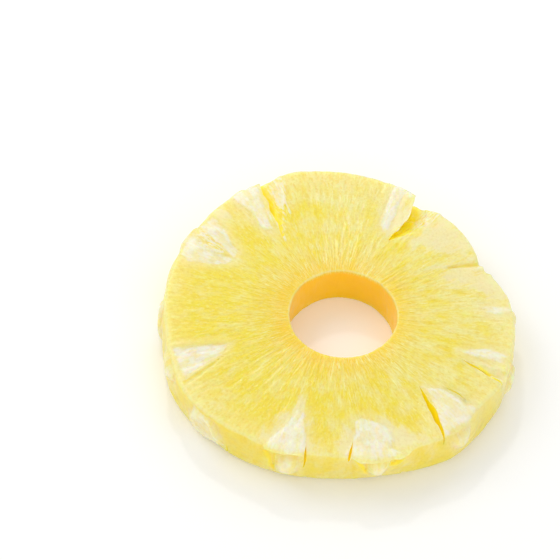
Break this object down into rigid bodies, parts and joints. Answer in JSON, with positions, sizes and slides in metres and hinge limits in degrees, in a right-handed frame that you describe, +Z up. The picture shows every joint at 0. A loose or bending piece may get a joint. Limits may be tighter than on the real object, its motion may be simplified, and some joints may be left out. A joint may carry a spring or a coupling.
{
  "type": "pineapple ring",
  "caption": "Thick ring of peeled and cored pineapple lying flat, with wedge-shaped eyes, notches and cracks round its rim.",
  "frame": {"origin": "under the middle of the ring, on the surface it lies on", "axes": "+Z up through the slice's thickness, +Y away from the viewer of the picture, +X to the viewer's right"},
  "size_m": [0.0848, 0.0858, 0.0114],
  "materials": {
    "flesh": "wet, slightly glossy, translucent yellow fruit flesh with paler radial fibres"
  },
  "bodies": {
    "root": {"pineapple_ring": "flesh"}
  },
  "joints": []
}
